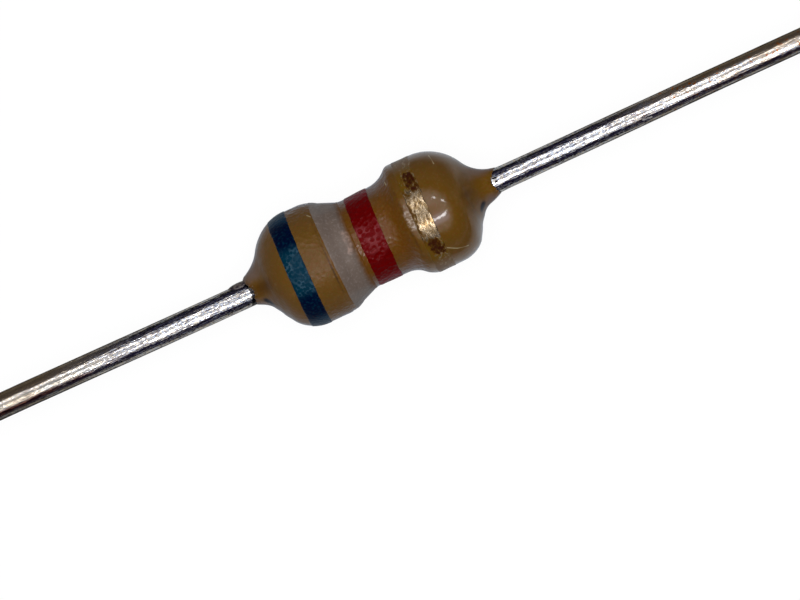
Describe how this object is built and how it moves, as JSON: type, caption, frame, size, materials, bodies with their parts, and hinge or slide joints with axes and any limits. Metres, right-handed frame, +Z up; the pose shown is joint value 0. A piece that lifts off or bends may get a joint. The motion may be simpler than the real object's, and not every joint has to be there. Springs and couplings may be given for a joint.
{
  "type": "axial resistor",
  "caption": "Small axial film resistor: a dog-bone body in brown lacquer with blue, grey, red and gold bands, and a straight tinned wire lead from each end.",
  "frame": {"origin": "middle of the body, on the axis of the leads, half way between the two wire tips", "axes": "+X along the leads, from the blue band's end towards the gold band's end; +Z up when the part lies on a board or table"},
  "size_m": [0.026, 0.0018, 0.0018],
  "materials": {
    "ceramic": "unglazed white porcelain rod",
    "film": "thin grey-black carbon, matt",
    "cap_steel": "pressed steel, tinned",
    "tinned_wire": "bright tinned copper with fine drawing marks",
    "lacquer": "dipped brown lacquer, semi-gloss, slightly uneven",
    "paint_blue": "dark blue paint",
    "paint_grey": "warm grey paint",
    "paint_red": "deep red paint",
    "paint_gold": "gold paint with metallic flakes"
  },
  "bodies": {
    "root": {"ceramic_core": "ceramic", "carbon_film": "film", "end_cap_left": "cap_steel", "end_cap_right": "cap_steel", "lead_left": "tinned_wire", "lead_right": "tinned_wire", "coating": "lacquer", "band_1_blue": "paint_blue", "band_2_grey": "paint_grey", "band_3_red": "paint_red", "band_4_gold": "paint_gold"}
  },
  "joints": []
}
